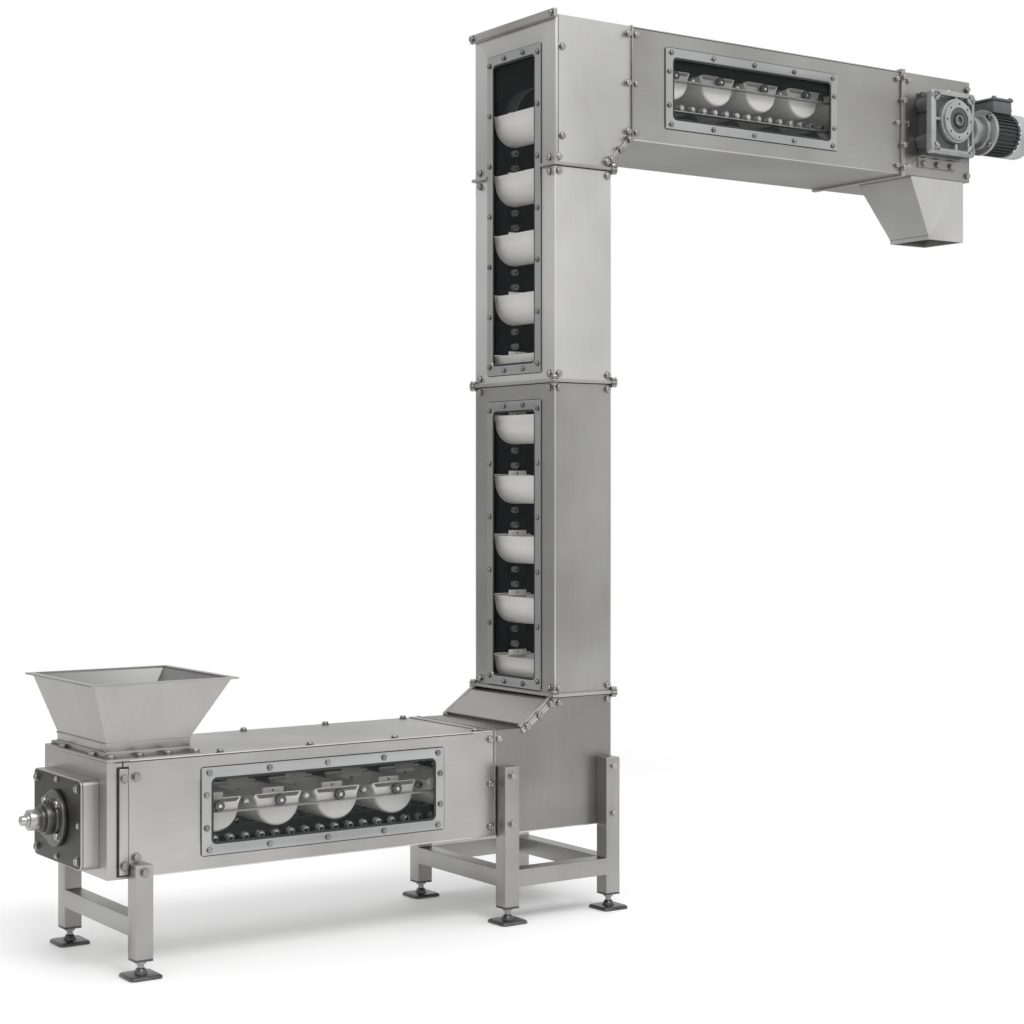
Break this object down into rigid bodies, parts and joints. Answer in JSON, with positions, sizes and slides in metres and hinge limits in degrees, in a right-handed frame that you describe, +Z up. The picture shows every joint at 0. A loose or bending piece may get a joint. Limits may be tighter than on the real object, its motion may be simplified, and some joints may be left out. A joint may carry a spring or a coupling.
{
  "type": "z-type bucket elevator",
  "caption": "Z-shaped elevator that lifts bulk material in pivoting buckets on two chains, from a low hopper up an enclosed riser to a high discharge chute, with windows and a gearmotor.",
  "frame": {"origin": "centre of the sole of the near foot at the lower leg's seam", "axes": "+X from the tail with the hopper to the head with the chute, +Y from the drive side to the far side, +Z up"},
  "size_m": [3.2, 0.5645, 2.429],
  "materials": {
    "casing": "brushed stainless sheet",
    "dark_plate": "dull steel",
    "bright_steel": "bright turned steel",
    "cast_housing": "cast grey",
    "motor_paint": "dark paint",
    "light_paint": "light grey paint",
    "pane": "clear pane",
    "foot_black": "black",
    "bucket_cream": "cream, smooth",
    "chain_steel": "oiled steel"
  },
  "bodies": {
    "frame": {"lower_casing": "casing", "lower_lid": "casing", "lower_elbow": "casing", "elbow_hatch": "casing", "riser_lower": "casing", "riser_upper": "casing", "upper_elbow": "casing", "upper_casing": "casing", "head_flange": "casing", "head_casing": "casing", "top_clamp_bar": "casing", "lower_window_frame": "casing", "upper_window_frame": "casing", "riser_low_window_frame": "casing", "riser_high_window_frame": "casing", "hopper": "casing", "hopper_base": "casing", "tail_box": "casing", "tail_stand": "casing", "main_stand": "casing", "discharge_chute": "casing", "joint_strips": "casing", "tail_end_plate": "dark_plate", "takeup_carrier": "dark_plate", "gearbox_bracket": "dark_plate", "lower_rails": "dark_plate", "riser_rails": "dark_plate", "upper_rails": "dark_plate", "takeup_spindle": "bright_steel", "seam_bolts": "bright_steel", "output_flange": "bright_steel", "takeup_bearing": "cast_housing", "gearbox_housing": "cast_housing", "head_bearing": "cast_housing", "motor_body": "motor_paint", "terminal_box": "motor_paint", "fan_cowl": "light_paint", "lower_window_pane": "pane", "upper_window_pane": "pane", "riser_low_window_pane": "pane", "riser_high_window_pane": "pane", "tail_feet": "foot_black", "main_feet": "foot_black"},
    "lower_strand": {"carry_chain_lower": "chain_steel", "buckets_lower": "bucket_cream"},
    "riser_strand": {"carry_chain_riser": "chain_steel", "buckets_riser": "bucket_cream"},
    "upper_strand": {"carry_chain_upper": "chain_steel", "buckets_upper": "bucket_cream"},
    "lower_return": {"return_chain_lower": "chain_steel"},
    "riser_return": {"return_chain_riser": "chain_steel"},
    "upper_return": {"return_chain_upper": "chain_steel"},
    "drive": {"drive_shaft": "bright_steel", "drive_sprockets": "chain_steel"},
    "tail": {"tail_shaft": "bright_steel", "tail_sprockets": "chain_steel"},
    "fan": {"motor_fan": "light_paint"},
    "loading": {"loading_bucket": "bucket_cream"},
    "discharge": {"discharge_bucket": "bucket_cream"}
  },
  "joints": [
    {"name": "riser_travel", "type": "slide", "parent": "frame", "child": "riser_strand", "axis": [0, 0, 1], "range_m": [-0.006, 0.03]},
    {"name": "lower_travel", "type": "slide", "parent": "frame", "child": "lower_strand", "axis": [1, 0, 0], "range_m": [-0.006, 0.03]},
    {"name": "upper_travel", "type": "slide", "parent": "frame", "child": "upper_strand", "axis": [1, 0, 0], "range_m": [-0.006, 0.03]},
    {"name": "lower_return_travel", "type": "slide", "parent": "frame", "child": "lower_return", "axis": [-1, 0, 0], "range_m": [-0.006, 0.03]},
    {"name": "riser_return_travel", "type": "slide", "parent": "frame", "child": "riser_return", "axis": [0, 0, -1], "range_m": [-0.006, 0.03]},
    {"name": "upper_return_travel", "type": "slide", "parent": "frame", "child": "upper_return", "axis": [-1, 0, 0], "range_m": [-0.006, 0.03]},
    {"name": "drive_spin", "type": "hinge", "parent": "frame", "child": "drive", "pos_m": [1.6375, 0.2145, 2.27], "axis": [0, 1, 0], "range_deg": [-8.38, 41.13]},
    {"name": "tail_spin", "type": "hinge", "parent": "frame", "child": "tail", "pos_m": [-1.0415, 0.2145, 0.326], "axis": [0, 1, 0], "range_deg": [-8.38, 41.13]},
    {"name": "fan_spin", "type": "hinge", "parent": "frame", "child": "fan", "pos_m": [1.8695, -0.0155, 2.254], "axis": [1, 0, 0], "range_deg": [-251.55, 1233.78]},
    {"name": "loading_swing", "type": "hinge", "parent": "lower_strand", "child": "loading", "pos_m": [-0.9655, 0.2145, 0.368], "axis": [0, 1, 0], "range_deg": [-12, 12]},
    {"name": "discharge_tip", "type": "hinge", "parent": "upper_strand", "child": "discharge", "pos_m": [1.4685, 0.2145, 2.312], "axis": [0, 1, 0], "range_deg": [-10, 100]}
  ],
  "couplings": [
    {"joint": "lower_travel", "follows": "riser_travel", "ratio": 1},
    {"joint": "upper_travel", "follows": "riser_travel", "ratio": 1},
    {"joint": "lower_return_travel", "follows": "riser_travel", "ratio": 1},
    {"joint": "riser_return_travel", "follows": "riser_travel", "ratio": 1},
    {"joint": "upper_return_travel", "follows": "riser_travel", "ratio": 1},
    {"joint": "drive_spin", "follows": "riser_travel", "rad_per_m": 23.81},
    {"joint": "tail_spin", "follows": "riser_travel", "rad_per_m": 23.81},
    {"joint": "fan_spin", "follows": "riser_travel", "rad_per_m": 714.29}
  ]
}
